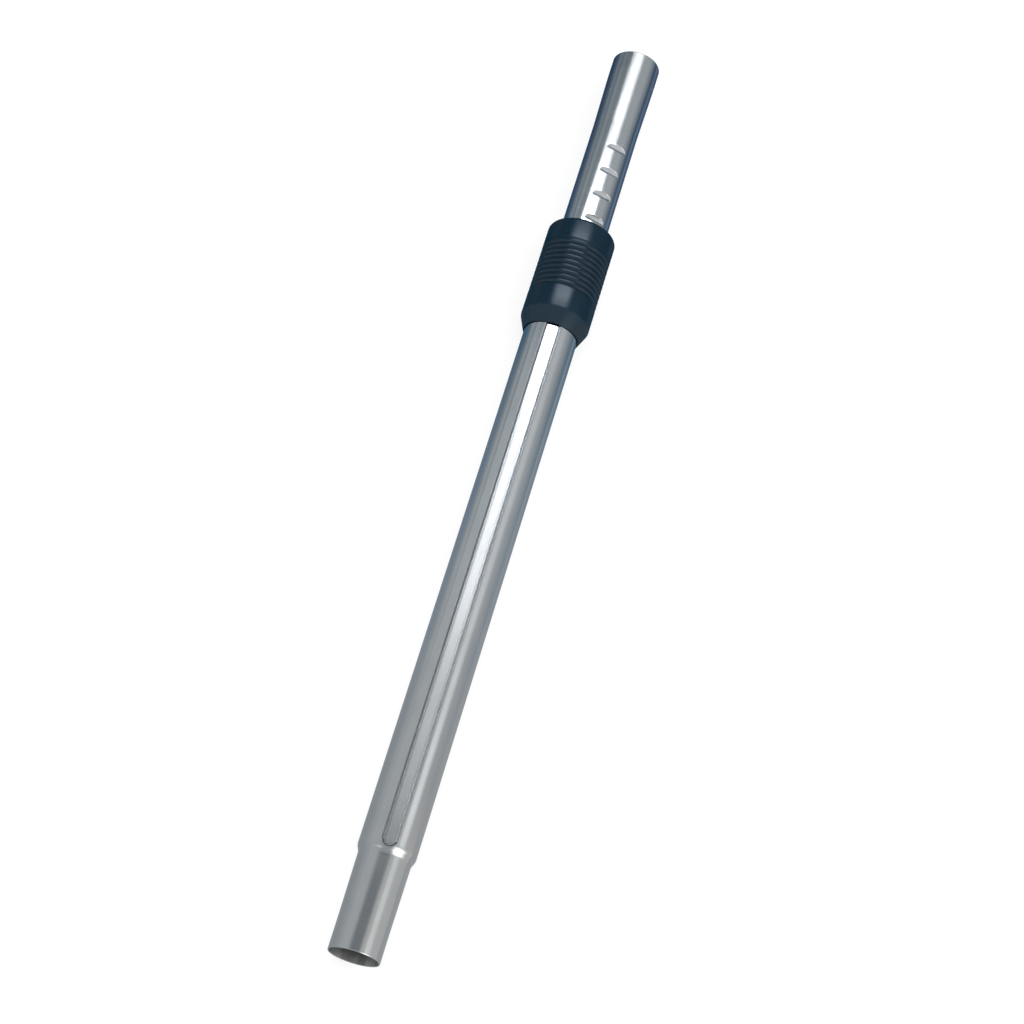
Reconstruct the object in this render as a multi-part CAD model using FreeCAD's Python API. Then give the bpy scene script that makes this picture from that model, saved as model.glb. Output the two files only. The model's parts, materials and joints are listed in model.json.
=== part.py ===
import FreeCAD, Part
import math
import os

from FreeCAD import Vector

# Telescopic vacuum wand, all lengths in millimetres.
# The wand's axis is X, from the floor end's mouth at X = 0 up to the handle end.
# Z points out through the row of notches, and the wand lies on a surface with Z up.
# It is drawn partly drawn out, with its lock in one notch.

# Tube stock
outer_radius = 20.0
tube_step = 2.5
wall = 0.8
rim_ease = 0.2

# Outer tube, from the floor end
outer_length = 516.0
mouth_radius = 17.6
mouth_land = 22.0
neck_taper = 0.45
neck_length = 65.5
shoulder_length = 8.0

# Anti-twist groove pressed into the outer tube
groove_angle = 19.0
groove_depth = 1.2
groove_floor_half = 4.2
groove_flank = 45.0
groove_lead = 1.5

# Inner tube and its handle socket
notch_pitch = 22.0
notches_below = 13
notches_above = 5
notch_radius = 3.0
notch_depth = 1.96
tail_length = 57.0
head_length = 90.0
socket_swell = 1.0
socket_length = 32.0
flare_length = 32.0

# Lock: a turned roller with a trunnion at each end
lock_setback = 16.0
roller_radius = 2.6
roller_length = 10.0
trunnion_radius = 1.2
trunnion_grip = 1.3
seat_gap = 0.1
lift_margin = 0.14
sleeve_travel = 7.0

# Lock carrier, fixed in and over the end of the outer tube
insert_depth = 14.0
skirt_depth = 19.0
skirt_wall = 1.35
spring_flange_height = 3.7
spring_flange_width = 2.5
carrier_height = 1.6
carrier_reach = 6.0
carrier_neck_width = 4.0
carrier_neck_inset = 1.2
snap_lug_radius = 2.5
snap_lug_setback = 7.0

# Rings that the carrier holds
seal_width = 3.0
seal_groove_depth = 1.4
seal_setback = 1.2
felt_width = 3.5
felt_depth = 2.4
nose_wall = 2.5
nose_bevel = 1.0
washer_thickness = 0.8

# Return spring
wire_radius = 0.6
spring_turns = 5
coil_steps = 20

# Grip sleeve and its cap
grip_height = 5.8
grip_wall = 1.6
grip_lip = 0.7
grip_taper_length = 13.5
grip_length = 72.0
rib_pitch = 4.6
rib_count = 9
rib_depth = 0.7
rib_margin = 0.3
cap_length = 18.5
cap_shoulder = 3.5
cap_face_wall = 1.8
spigot_length = 5.0
spigot_wall = 1.85
spigot_root = 3.0
seam_ease = 0.3

# Cam slide inside the grip sleeve
cam_length = 21.0
cam_reach = 13.0
cam_front_ring = 4.5
cam_end_ring = 2.5
cheek_side_gap = 1.2
cheek_thickness = 1.5
cheek_length = 17.0
rail_lip = 0.8
strut_half_width = 4.0
strut_angles = (120.0, 240.0)

# Guide bush on the lower end of the inner tube
bush_length = 25.0
bush_peg_radius = 2.0
bush_peg_setback = 11.0
felt_strip_width = 3.0
felt_strip_setback = 17.0
felt_strip_depth = 1.1

# Clearances between pieces
slide_gap = 0.3
bush_gap = 0.2
fit_gap = 0.05
wiper_gap = 0.2
sleeve_gap = 0.2
trunnion_gap = 0.12
hole_gap = 0.1
mouth_gap = 0.6

# How far a cutting body reaches past the solid that it cuts
overshoot = 1.0

# Places worked out from the values above
inner_radius = outer_radius - tube_step
neck_radius = mouth_radius + neck_taper
socket_radius = inner_radius + socket_swell
carrier_radius = outer_radius + carrier_height
spring_flange_radius = outer_radius + spring_flange_height
grip_radius = outer_radius + grip_height
outer_bore = outer_radius - wall
inner_bore = inner_radius - wall
shoulder_end = neck_length + shoulder_length
lock_x = outer_length + lock_setback
inner_start = lock_x - notches_below * notch_pitch - tail_length
inner_end = lock_x + notches_above * notch_pitch + head_length
notch_floor = inner_radius - notch_depth
notch_axis = notch_floor + notch_radius
roller_z = notch_floor + seat_gap + roller_radius
lock_lift = notch_depth + lift_margin
carrier_bore = inner_radius + slide_gap
skirt_start = outer_length - skirt_depth
spring_seat = skirt_start + spring_flange_width + washer_thickness
cam_end = lock_x + cam_reach
cam_start = cam_end - cam_length
carrier_end = cam_end + carrier_reach
grip_end = cam_end + spigot_length
grip_start = grip_end - grip_length
grip_bore = grip_radius - grip_wall
cap_end = grip_end + cap_length
cam_outer = grip_bore - sleeve_gap
cam_bore = carrier_radius + slide_gap
cheek_start = cam_end - cheek_length
cheek_inner = roller_length / 2 + cheek_side_gap
cheek_outer = cheek_inner + cheek_thickness
rail_inner = cheek_inner - rail_lip
window_half_width = cheek_outer + sleeve_gap
trunnion_half = window_half_width + trunnion_grip
cap_opening = inner_radius + mouth_gap
bush_radius = outer_bore - bush_gap

CENTRE = Vector(0, 0, 0)
AXIS = Vector(1, 0, 0)


def line(x0, r0, x1, r1):
    """Straight edge of a turned outline, from (x, radius) to (x, radius)."""
    return Part.makeLine(Vector(x0, 0, r0), Vector(x1, 0, r1))


def swage(x0, r0, x1, r1):
    """S-shaped edge of a turned outline, level at both ends."""
    middle = (x0 + x1) / 2
    curve = Part.BezierCurve()
    curve.setPoles([Vector(x0, 0, r0), Vector(middle, 0, r0), Vector(middle, 0, r1), Vector(x1, 0, r1)])
    return curve.toShape()


def turned(corners):
    """Solid of revolution about the wand's axis, from (x, radius) corners."""
    points = [Vector(x, 0, r) for x, r in corners]
    outline = Part.makePolygon(points + points[:1])
    return Part.Face(outline).revolve(CENTRE, AXIS, 360)


def turned_bar(edges):
    """Solid of revolution under a row of joined edges, closed on the axis."""
    start = edges[0].Vertexes[0].Point
    end = edges[-1].Vertexes[-1].Point
    foot = line(start.x, 0, start.x, start.z)
    top = line(end.x, end.z, end.x, 0)
    back = line(end.x, 0, start.x, 0)
    return Part.Face(Part.Wire([foot] + edges + [top, back])).revolve(CENTRE, AXIS, 360)


def ring(x0, x1, bore, radius):
    return turned([(x0, bore), (x1, bore), (x1, radius), (x0, radius)])


def rod(x0, x1, radius):
    return Part.makeCylinder(radius, x1 - x0, Vector(x0, 0, 0), AXIS)


def is_ring(edge, x, radius):
    """True for a full round edge about the wand's axis, at x and of that radius."""
    if not isinstance(edge.Curve, Part.Circle):
        return False
    return abs(edge.Curve.Center.x - x) < 1e-4 and abs(edge.Curve.Radius - radius) < 1e-4


def eased(shape, x, radius):
    """Copy with one round edge slightly bevelled."""
    return shape.makeChamfer(rim_ease, [edge for edge in shape.Edges if is_ring(edge, x, radius)])


def box(x0, x1, y0, y1, z0, z1):
    return Part.makeBox(x1 - x0, y1 - y0, z1 - z0, Vector(x0, y0, z0))


def cross_rod(x, z, radius, half_length):
    """Round bar that lies across the wand, along Y."""
    return Part.makeCylinder(radius, 2 * half_length, Vector(x, -half_length, z), Vector(0, 1, 0))


def about_axis(shape, angle):
    """Copy turned about the wand's axis, from +Z towards +Y."""
    copy = shape.copy()
    copy.rotate(CENTRE, AXIS, -angle)
    return copy


def slot_outline(x_round, x_end, half_width, height):
    """Outline of a groove at one height: a round end, then straight sides."""
    arc = Part.Arc(
        Vector(x_round, half_width, height),
        Vector(x_round - half_width, 0, height),
        Vector(x_round, -half_width, height),
    ).toShape()
    corners = [
        Vector(x_round, -half_width, height),
        Vector(x_end, -half_width, height),
        Vector(x_end, half_width, height),
        Vector(x_round, half_width, height),
    ]
    return Part.Wire([arc] + Part.makePolygon(corners).Edges)


def groove_tool(sink):
    """Body that fills the groove, sunk by a wall's thickness for its inner face."""
    slope = math.tan(math.radians(groove_flank))
    floor_radius = outer_radius - groove_depth
    foot = math.sqrt(floor_radius**2 - groove_floor_half**2)
    foot_half = groove_floor_half + sink / math.sin(math.radians(groove_flank))
    low = foot - groove_depth
    high = outer_radius + overshoot
    x_round = shoulder_end - groove_lead + groove_floor_half + groove_depth / slope
    x_end = outer_length + overshoot
    outlines = [
        slot_outline(x_round, x_end, foot_half + (height - foot) / slope, height) for height in (low, high)
    ]
    core = rod(0, x_end, floor_radius - sink)
    return about_axis(Part.makeLoft(outlines, True, True), groove_angle).cut(core)


def bead_slot(x0, x1, gap):
    """Body that clears the groove's inner face in the rings that pass or hold it."""
    half = groove_floor_half + groove_depth + wall + gap
    return about_axis(box(x0, x1, -half, half, carrier_bore / 2, outer_radius), groove_angle)


def outer_outline(inset):
    """Edges of the outer tube's outside, or of its bore when inset by the wall."""
    return [
        line(0, mouth_radius - inset, mouth_land, mouth_radius - inset),
        line(mouth_land, mouth_radius - inset, neck_length, neck_radius - inset),
        swage(neck_length, neck_radius - inset, shoulder_end, outer_radius - inset),
        line(shoulder_end, outer_radius - inset, outer_length, outer_radius - inset),
    ]


def snap_holes(radius):
    """Round holes through the outer tube's sides for the carrier's lugs."""
    return cross_rod(outer_length - snap_lug_setback, 0, radius, outer_radius + overshoot)


def make_outer_tube():
    bar = turned_bar(outer_outline(0))
    tube = eased(bar.cut(turned_bar(outer_outline(wall))), 0, mouth_radius)
    bead = groove_tool(wall).common(bar)
    return tube.fuse(bead).cut(groove_tool(0)).cut(snap_holes(snap_lug_radius + hole_gap))


def inner_outline(inset):
    """Edges of the inner tube's outside, or of its bore when inset by the wall."""
    flare_start = inner_end - socket_length - flare_length
    socket_start = inner_end - socket_length
    return [
        line(inner_start, inner_radius - inset, flare_start, inner_radius - inset),
        swage(flare_start, inner_radius - inset, socket_start, socket_radius - inset),
        line(socket_start, socket_radius - inset, inner_end, socket_radius - inset),
    ]


def notch_rods(radius):
    """One round bar across the inner tube for each notch."""
    rods = []
    for step in range(-notches_below, notches_above + 1):
        rods.append(cross_rod(lock_x + step * notch_pitch, notch_axis, radius, inner_radius))
    return rods


def make_inner_tube():
    tube = turned_bar(inner_outline(0)).cut(turned_bar(inner_outline(wall)))
    tube = eased(tube, inner_end, socket_radius)
    core = rod(inner_start, inner_end, inner_radius - wall / 2)
    pressed = core.common(Part.makeCompound(notch_rods(notch_radius + wall)))
    tube = tube.fuse(pressed.Solids).cut(notch_rods(notch_radius))
    peg_x = inner_start + bush_peg_setback
    return tube.cut(cross_rod(peg_x, 0, bush_peg_radius + hole_gap, inner_radius + overshoot))


def make_lock_carrier():
    insert = ring(outer_length - insert_depth, outer_length, carrier_bore, outer_bore - fit_gap)
    skirt_bore = outer_radius + fit_gap
    skirt = ring(skirt_start, outer_length, skirt_bore, skirt_bore + skirt_wall)
    flange = ring(skirt_start, skirt_start + spring_flange_width, skirt_bore, spring_flange_radius)
    neck_start = carrier_end - carrier_neck_width
    body = turned([
        (outer_length, carrier_bore),
        (carrier_end, carrier_bore),
        (carrier_end, carrier_radius - carrier_neck_inset),
        (neck_start, carrier_radius - carrier_neck_inset),
        (neck_start, carrier_radius),
        (outer_length, carrier_radius),
    ])
    lugs = snap_holes(snap_lug_radius).common(ring(skirt_start, outer_length, outer_bore, skirt_bore + fit_gap))
    carrier = body.fuse([insert.cut(bead_slot(0, outer_length, fit_gap)), skirt, flange, lugs])
    return carrier.cut([seal_groove(), lock_window(), trunnion_guides()]).removeSplitter()


def seal_groove():
    x0 = outer_length + seal_setback
    return ring(x0, x0 + seal_width, carrier_bore - overshoot, carrier_bore + seal_groove_depth)


def lock_window():
    """Opening over the notch, for the roller and the two cam cheeks."""
    x0 = cheek_start - sleeve_travel - slide_gap
    return box(x0, cam_end + sleeve_gap, -window_half_width, window_half_width, 0, grip_radius)


def trunnion_guides():
    """Upright slots that let the trunnions rise but not travel along the wand."""
    half = trunnion_radius + trunnion_gap
    reach = trunnion_half + sleeve_gap
    return box(lock_x - half, lock_x + half, -reach, reach, roller_z - half, grip_radius)


def make_nose_ring():
    """Snap ring over the carrier's neck, with a lip in front of the felt wiper."""
    x0 = carrier_end - carrier_neck_width + fit_gap
    x1 = carrier_end + felt_width
    x2 = x1 + nose_wall
    neck = carrier_radius - carrier_neck_inset + fit_gap
    return turned([
        (x0, neck),
        (x1, neck),
        (x1, carrier_bore),
        (x2, carrier_bore),
        (x2, carrier_radius - nose_bevel),
        (x2 - nose_bevel, carrier_radius),
        (x0, carrier_radius),
    ])


def make_felt_wiper():
    return ring(carrier_end, carrier_end + felt_width, inner_radius + wiper_gap, inner_radius + wiper_gap + felt_depth)


def make_tube_seal():
    """Rubber ring whose lip leans on the inner tube on the side of the suction."""
    x0 = outer_length + seal_setback
    x1 = x0 + seal_width
    root = carrier_bore + seal_groove_depth
    return turned([(x0, root), (x0, inner_radius + wiper_gap), (x1, carrier_bore), (x1, root)])


def make_spring_washer():
    x0 = skirt_start + spring_flange_width
    bore = outer_radius + fit_gap + skirt_wall + hole_gap
    return ring(x0, x0 + washer_thickness, bore, spring_flange_radius)


def make_return_spring():
    """Wire wound round the carrier, lofted through a six-sided section at each step."""
    length = cam_start - spring_seat - 2 * wire_radius - 2 * seat_gap
    coil_radius = cam_bore + wire_radius
    steps = spring_turns * coil_steps
    sections = []
    for step in range(steps + 1):
        x = spring_seat + seat_gap + wire_radius + length * step / steps
        corners = []
        for corner in range(6):
            turn = math.radians(60 * corner)
            corners.append(Vector(x + wire_radius * math.cos(turn), 0, coil_radius + wire_radius * math.sin(turn)))
        section = Part.makePolygon(corners + corners[:1])
        sections.append(about_axis(section, 360 * step / coil_steps))
    return Part.makeLoft(sections, True, True)


def make_grip_sleeve():
    """Ribbed sleeve with a tapered lower end that guides it on the outer tube."""
    taper_end = grip_start + grip_taper_length
    rib_start = grip_end - rib_margin - rib_count * rib_pitch
    lip_bore = outer_radius + slide_gap
    ribs = []
    for i in range(rib_count):
        ribs.append((rib_start + (i + 0.5) * rib_pitch, grip_radius - rib_depth))
        ribs.append((rib_start + (i + 1) * rib_pitch, grip_radius))
    return turned([
        (grip_start, lip_bore),
        (grip_start, lip_bore + grip_lip),
        (taper_end, grip_radius),
        (rib_start, grip_radius),
        *ribs,
        (grip_end, grip_radius),
        (grip_end, grip_bore),
        (taper_end, grip_bore),
        (grip_start + grip_wall, lip_bore),
    ])


def make_sleeve_cap():
    """Plain band at the top of the grip, with a face round the inner tube."""
    spigot_outer = grip_bore - fit_gap
    spigot_bore = spigot_outer - spigot_wall
    face_back = cap_end - cap_face_wall
    return turned([
        (cam_end, spigot_bore),
        (cam_end, spigot_outer),
        (grip_end, spigot_outer),
        (grip_end, grip_radius - seam_ease),
        (grip_end + seam_ease, grip_radius),
        *shoulder(cap_end - cap_shoulder, grip_radius, cap_shoulder),
        (cap_end, cap_opening),
        (face_back, cap_opening),
        (face_back, grip_bore),
        (grip_end + spigot_root, grip_bore),
        (grip_end + spigot_root, spigot_bore),
    ])


def shoulder(x, radius, size):
    """Corners of a quarter round from a band to its end face, in three chords."""
    chords = 3
    corners = []
    for step in range(chords + 1):
        turn = math.radians(90 * step / chords)
        corners.append((x + size * math.sin(turn), radius - size + size * math.cos(turn)))
    return corners


def make_cam_slide():
    """Cage round the carrier, with two cheeks whose inclined slots lift the roller."""
    front = ring(cam_start, cam_start + cam_front_ring, cam_bore, cam_outer)
    end = ring(cam_end - cam_end_ring, cam_end, cam_bore, cam_outer)
    shell = ring(cam_start, cam_end, cam_bore, cam_outer)
    strut = box(cam_start, cam_end, -strut_half_width, strut_half_width, 0, grip_radius)
    pieces = [end] + [about_axis(strut, angle).common(shell) for angle in strut_angles]
    cheek_foot = math.sqrt((carrier_bore + fit_gap) ** 2 - cheek_inner ** 2)
    for side in (-1, 1):
        rail_y = sorted((side * rail_inner, side * cheek_outer))
        cheek_y = sorted((side * cheek_inner, side * cheek_outer))
        pieces.append(box(cam_start, cam_end, rail_y[0], rail_y[1], 0, grip_radius).common(shell))
        cheek = box(cheek_start, cam_end, cheek_y[0], cheek_y[1], cheek_foot, grip_radius)
        pieces.append(cheek.common(rod(cam_start, cam_end, (cam_bore + cam_outer) / 2)))
    return front.fuse(pieces).cut(cam_slot(cheek_outer + overshoot, cheek_foot)).removeSplitter()


def cam_slot(half_width, foot):
    """Path of the trunnion through the cheeks, with its seated end open below."""
    radius = trunnion_radius + trunnion_gap
    low = Vector(lock_x, -half_width, roller_z)
    high = Vector(lock_x + sleeve_travel, -half_width, roller_z + lock_lift)
    across = Vector(0, 2 * half_width, 0)
    run = (high - low).normalize()
    side = Vector(-run.z, 0, run.x) * radius
    outline = Part.makePolygon([low - side, high - side, high + side, low + side, low - side])
    channel = Part.Face(outline).extrude(across)
    ends = [Part.makeCylinder(radius, 2 * half_width, end, Vector(0, 1, 0)) for end in (low, high)]
    mouth = box(lock_x - radius, lock_x + radius / 2, -half_width, half_width, foot - overshoot, roller_z)
    return channel.fuse(ends + [mouth])


def make_lock_roller():
    """Turned steel bar that drops into a notch and hangs by its trunnions."""
    roller = cross_rod(lock_x, roller_z, roller_radius, roller_length / 2)
    roller = roller.makeChamfer(rim_ease * 2, [edge for edge in roller.Edges if len(edge.Vertexes) == 1])
    trunnions = cross_rod(lock_x, roller_z, trunnion_radius, trunnion_half)
    trunnions = trunnions.makeChamfer(rim_ease, [edge for edge in trunnions.Edges if len(edge.Vertexes) == 1])
    return roller.fuse(trunnions)


def make_guide_bush():
    """Split bush that keeps the inner tube central and runs along the groove's bead."""
    bore = inner_radius + fit_gap
    end = inner_start + bush_length
    body = ring(inner_start, end, bore, bush_radius)
    peg_ring = ring(inner_start, end, inner_bore + fit_gap, bore + fit_gap)
    pegs = cross_rod(inner_start + bush_peg_setback, 0, bush_peg_radius, outer_radius).common(peg_ring)
    slot = bead_slot(inner_start - overshoot, end + overshoot, fit_gap)
    return body.fuse(pegs).cut([felt_strip(), slot])


def felt_strip():
    x0 = inner_start + felt_strip_setback
    return ring(x0, x0 + felt_strip_width, bush_radius - felt_strip_depth, bush_radius + fit_gap)


def make_bush_felt():
    """Felt strip in the bush's groove, open where the bead runs."""
    end = inner_start + bush_length
    return felt_strip().cut(bead_slot(inner_start, end, fit_gap))


def write_parts():
    os.makedirs("parts", exist_ok=True)
    pieces = {
        "outer_tube": make_outer_tube(),
        "lock_carrier": make_lock_carrier(),
        "nose_ring": make_nose_ring(),
        "felt_wiper": make_felt_wiper(),
        "tube_seal": make_tube_seal(),
        "spring_washer": make_spring_washer(),
        "return_spring": make_return_spring(),
        "grip_sleeve": make_grip_sleeve(),
        "sleeve_cap": make_sleeve_cap(),
        "cam_slide": make_cam_slide(),
        "lock_roller": make_lock_roller(),
        "inner_tube": make_inner_tube(),
        "guide_bush": make_guide_bush(),
        "bush_felt": make_bush_felt(),
    }
    for name, shape in pieces.items():
        shape.exportStep("parts/" + name + ".step")
        print(name, len(shape.Solids), "solid", shape.isValid(), round(shape.Volume, 1), "mm3")


write_parts()
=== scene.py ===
"""Looks of a telescopic vacuum wand: plated steel tubes, a black ribbed grip and the lock inside it."""

import json
import math

import bmesh
import bpy
from mathutils import Matrix, Vector


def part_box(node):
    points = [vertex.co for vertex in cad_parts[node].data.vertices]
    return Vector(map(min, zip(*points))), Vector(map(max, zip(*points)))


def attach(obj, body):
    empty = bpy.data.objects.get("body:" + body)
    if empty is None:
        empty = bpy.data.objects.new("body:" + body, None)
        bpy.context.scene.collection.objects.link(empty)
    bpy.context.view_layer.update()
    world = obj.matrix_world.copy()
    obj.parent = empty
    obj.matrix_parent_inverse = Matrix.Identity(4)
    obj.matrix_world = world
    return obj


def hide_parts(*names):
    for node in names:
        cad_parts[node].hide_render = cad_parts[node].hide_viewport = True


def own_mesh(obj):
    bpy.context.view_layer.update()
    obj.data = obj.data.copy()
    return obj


bl_info = {
    "name": "Vacuum Extension Wand",
    "version": (1, 0, 0),
    "blender": (4, 5, 0),
    "location": "3D View > Sidebar > Wand",
    "description": "Builds the tubes, the grip and the finishes of a telescopic vacuum wand",
    "category": "Object",
}

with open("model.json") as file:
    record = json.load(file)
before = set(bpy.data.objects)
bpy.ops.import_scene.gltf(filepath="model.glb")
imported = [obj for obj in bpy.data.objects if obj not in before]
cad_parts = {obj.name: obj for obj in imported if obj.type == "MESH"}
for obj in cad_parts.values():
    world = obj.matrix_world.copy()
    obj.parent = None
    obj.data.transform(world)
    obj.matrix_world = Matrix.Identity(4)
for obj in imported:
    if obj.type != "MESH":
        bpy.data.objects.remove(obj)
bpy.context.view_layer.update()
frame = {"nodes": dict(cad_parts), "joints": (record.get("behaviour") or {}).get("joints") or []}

MM = 0.001
AXIS = Vector((1, 0, 0))
OUTER_LOW, OUTER_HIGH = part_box("outer_tube")
INNER_LOW, INNER_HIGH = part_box("inner_tube")
SLEEVE_LOW, SLEEVE_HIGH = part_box("grip_sleeve")
CAP_LOW, CAP_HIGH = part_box("sleeve_cap")
LOCK_X = sum(corner.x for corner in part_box("lock_roller")) / 2

BEND_SUPPORT = 0.7 * MM
SHARP_TURN = math.radians(30)
GRIP_STEPS = 160
PLASTIC_IOR = 1.5
GRIP_IOR = 1.33
WHITE = (1, 1, 1, 1)
SOFTBOX_SIZE = (1.4, 1.0)
LIT_PLACE = Vector((0.35, 0, 0))

# The Mix node gives its number, vector and colour sockets the same names, so the colour ones go by place.
MIX_FACTOR, MIX_LOW, MIX_HIGH, MIX_RESULT = 0, 6, 7, 2


def length(name, description, default):
    """A size of the wand, shown in the scene's own units."""
    return bpy.props.FloatProperty(
        name=name, description=description, default=default, unit="LENGTH", subtype="DISTANCE", precision=5
    )


def angle(name, description, degrees):
    """An angle, given here in degrees."""
    return bpy.props.FloatProperty(
        name=name, description=description, default=math.radians(degrees), unit="ROTATION", subtype="ANGLE"
    )


def share(name, description, default):
    """A setting from 0 to 1."""
    return bpy.props.FloatProperty(
        name=name, description=description, default=default, min=0, max=1, subtype="FACTOR"
    )


def colour(name, description, default):
    """A red, green and blue setting."""
    return bpy.props.FloatVectorProperty(
        name=name, description=description, default=default, size=3, min=0, max=1, subtype="COLOR"
    )


def count(name, description, default):
    """A whole number."""
    return bpy.props.IntProperty(name=name, description=description, default=default)


class WandTubeSizes(bpy.types.PropertyGroup):
    """Sizes of the two steel tubes."""

    wall: length("Wall", "Thickness of the rolled steel", 0.8 * MM)
    rim_round: length("Rim round", "Rounding of a cut end", 0.3 * MM)
    mouth_radius: length("Mouth radius", "Radius of the reduced floor end", 17.6 * MM)
    mouth_land: length("Mouth land", "Straight length behind the mouth", 22 * MM)
    neck_radius: length("Neck radius", "Radius where the taper meets the shoulder", 18.05 * MM)
    neck_end: length("Neck end", "Place where the shoulder begins", 65.5 * MM)
    shoulder_end: length("Shoulder end", "Place where the full tube begins", 73.5 * MM)
    groove_angle: angle("Groove angle", "From the row of notches to the groove", 19)
    groove_depth: length("Groove depth", "Depth of the pressed groove", 1.2 * MM)
    groove_half: length("Groove half width", "Half the width of the groove's floor", 3.9 * MM)
    groove_flank: length("Groove flank", "Width of the hollow from the floor to the rim", 1.685 * MM)
    groove_start: length("Groove start", "Centre of the groove's round end", 76.4 * MM)
    inner_radius: length("Inner tube radius", "Radius of the sliding tube", 17.5 * MM)
    flare_length: length("Flare length", "Length over which the handle end widens", 50 * MM)
    socket_length: length("Socket length", "Straight length of the widened handle end", 16 * MM)
    notch_pitch: length("Notch pitch", "Step between two notches", 22 * MM)
    notch_radius: length("Notch radius", "Radius of the pressing tool", 3 * MM)
    notch_floor: length("Notch floor", "Height of a notch's floor above the axis", 15.54 * MM)
    notches_below: count("Notches below", "Notches below the lock", 13)
    notches_above: count("Notches above", "Notches above the lock", 5)


class WandGripSizes(bpy.types.PropertyGroup):
    """Sizes of the sliding grip and its cap."""

    wall: length("Wall", "Thickness of the moulded sleeve", 1.6 * MM)
    bore: length("Lower bore", "Bore of the lip that runs on the outer tube", 20.3 * MM)
    lip: length("Lip", "Height of the lower rim", 0.7 * MM)
    taper: length("Taper", "Length of the tapered lower end", 11.5 * MM)
    rib_pitch: length("Rib pitch", "Step between two ribs", 4.47 * MM)
    rib_depth: length("Rib depth", "Depth of the grooves between the ribs", 0.7 * MM)
    rib_count: count("Ribs", "Number of grooves between ribs", 9)
    rib_margin: length("Rib margin", "Plain rim above the last rib", 2.1 * MM)
    cap_shoulder: length("Cap shoulder", "Rounding at the top of the cap", 3.5 * MM)
    cap_opening: length("Cap opening", "Radius of the hole for the inner tube", 18.1 * MM)
    cap_face: length("Cap face", "Thickness of the cap's end", 1.8 * MM)
    spigot_wall: length("Spigot wall", "Thickness of the cap's spigot", 1.85 * MM)
    seam: length("Seam", "Bevel on both sides of the seam", 0.3 * MM)
    spring_wire: length("Spring wire", "Thickness of the return spring's wire", 1.2 * MM)
    spring_turns: count("Spring turns", "Turns of the return spring", 5)


class WandFinishes(bpy.types.PropertyGroup):
    """Colours and gloss of the wand's materials."""

    steel: colour("Plated steel", "Colour of the chrome plated tubes", (0.72, 0.73, 0.74))
    steel_roughness: share("Plating roughness", "Roughness of the plated tubes", 0.12)
    inside: colour("Bare steel", "Colour of the unplated inside of the tubes", (0.36, 0.37, 0.36))
    grip: colour("Grip", "Colour of the black moulded grip", (0.001, 0.01, 0.02))
    # Painted sheen: the paler colour painted on the grip's taper and on one side of each rib, where light
    # catches them.
    painted_sheen: colour("Painted grip sheen", "Colour of the grip where hands have dulled it", (0.008, 0.018, 0.028))
    grip_roughness: share("Grip roughness", "Roughness of the moulded grip", 0.25)
    guide: colour("Guides", "Colour of the grey sliding pieces", (0.2, 0.21, 0.22))
    wire: colour("Spring steel", "Colour of the spring, the washer and the lock", (0.5, 0.5, 0.49))
    rubber: colour("Seal", "Colour of the rubber seal", (0.02, 0.02, 0.021))
    felt: colour("Felt", "Colour of the felt rings", (0.42, 0.4, 0.36))


class WandStudio(bpy.types.PropertyGroup):
    """Camera, floor and lights."""

    lens: bpy.props.FloatProperty(name="Lens", description="Focal length", default=77.34, unit="CAMERA")
    distance: length("Distance", "From the camera to the wand's axis", 1.402)
    foot: length("Foot", "Place on the axis nearest to the camera", -0.324)
    roll: angle("Roll", "Turn of the camera about the wand, from above", 17)
    pan: angle("Pan", "Angle from the nearest place to the view's centre", 25.13)
    offset: angle("Offset", "Sideways angle from the wand to the view's centre", 0.426)
    twist: angle("Twist", "Slant of the wand in the picture", 17.605)
    floor: colour("Floor", "Colour of the floor", (0.9, 0.9, 0.9))
    glow: share("Glow", "Share of the floor's white that no shadow reaches", 0.7)
    air: bpy.props.FloatProperty(name="Air", description="Strength of the light from all round", default=0.8)


class Value:
    """One socket of a material, with arithmetic that adds the nodes it needs."""

    def __init__(self, material, socket):
        self.material = material
        self.socket = socket

    def maths(self, operation, *inputs):
        return self.material.node("ShaderNodeMath", {"operation": operation}, dict(enumerate(inputs)))

    def __add__(self, other):
        return self.maths("ADD", self, other)

    def __radd__(self, other):
        return self.maths("ADD", other, self)

    def __sub__(self, other):
        return self.maths("SUBTRACT", self, other)

    def __rsub__(self, other):
        return self.maths("SUBTRACT", other, self)

    def __mul__(self, other):
        return self.maths("MULTIPLY", self, other)

    def __rmul__(self, other):
        return self.maths("MULTIPLY", other, self)

    def size(self):
        return self.maths("ABSOLUTE", self)

    def squared(self):
        return self.maths("MULTIPLY", self, self)

    def root(self):
        return self.maths("SQRT", self)

    def at_least(self, other):
        return self.maths("MAXIMUM", self, other)

    def at_most(self, other):
        return self.maths("MINIMUM", self, other)

    def turn_from(self, upright):
        """Angle in degrees, from the upright direction towards this one."""
        return self.maths("ARCTAN2", self, upright) * math.degrees(1)

    def wrapped(self, step):
        """The same place in every step: from -step/2 to step/2."""
        return self.maths("WRAP", self, step / 2, -step / 2)

    def rise(self, low, high):
        """0 up to low, 1 from high on, with a smooth step between."""
        limits = {"Value": self, "From Min": low, "From Max": high}
        return self.material.node("ShaderNodeMapRange", {"interpolation_type": "SMOOTHSTEP"}, limits)

    def shades(self, stops):
        """Colours along this value, from (place, red, green, blue) stops."""
        low, high = stops[0][0], stops[-1][0]
        spread = [((place - low) / (high - low), opaque(rgb)) for place, *rgb in stops]
        return self.material.ramp((self - low) * (1 / (high - low)), spread)

    def between(self, low, high, edge):
        """1 from low to high, 0 outside, with soft edges."""
        return self.rise(low - edge, low + edge) * (1 - self.rise(high - edge, high + edge))


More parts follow.
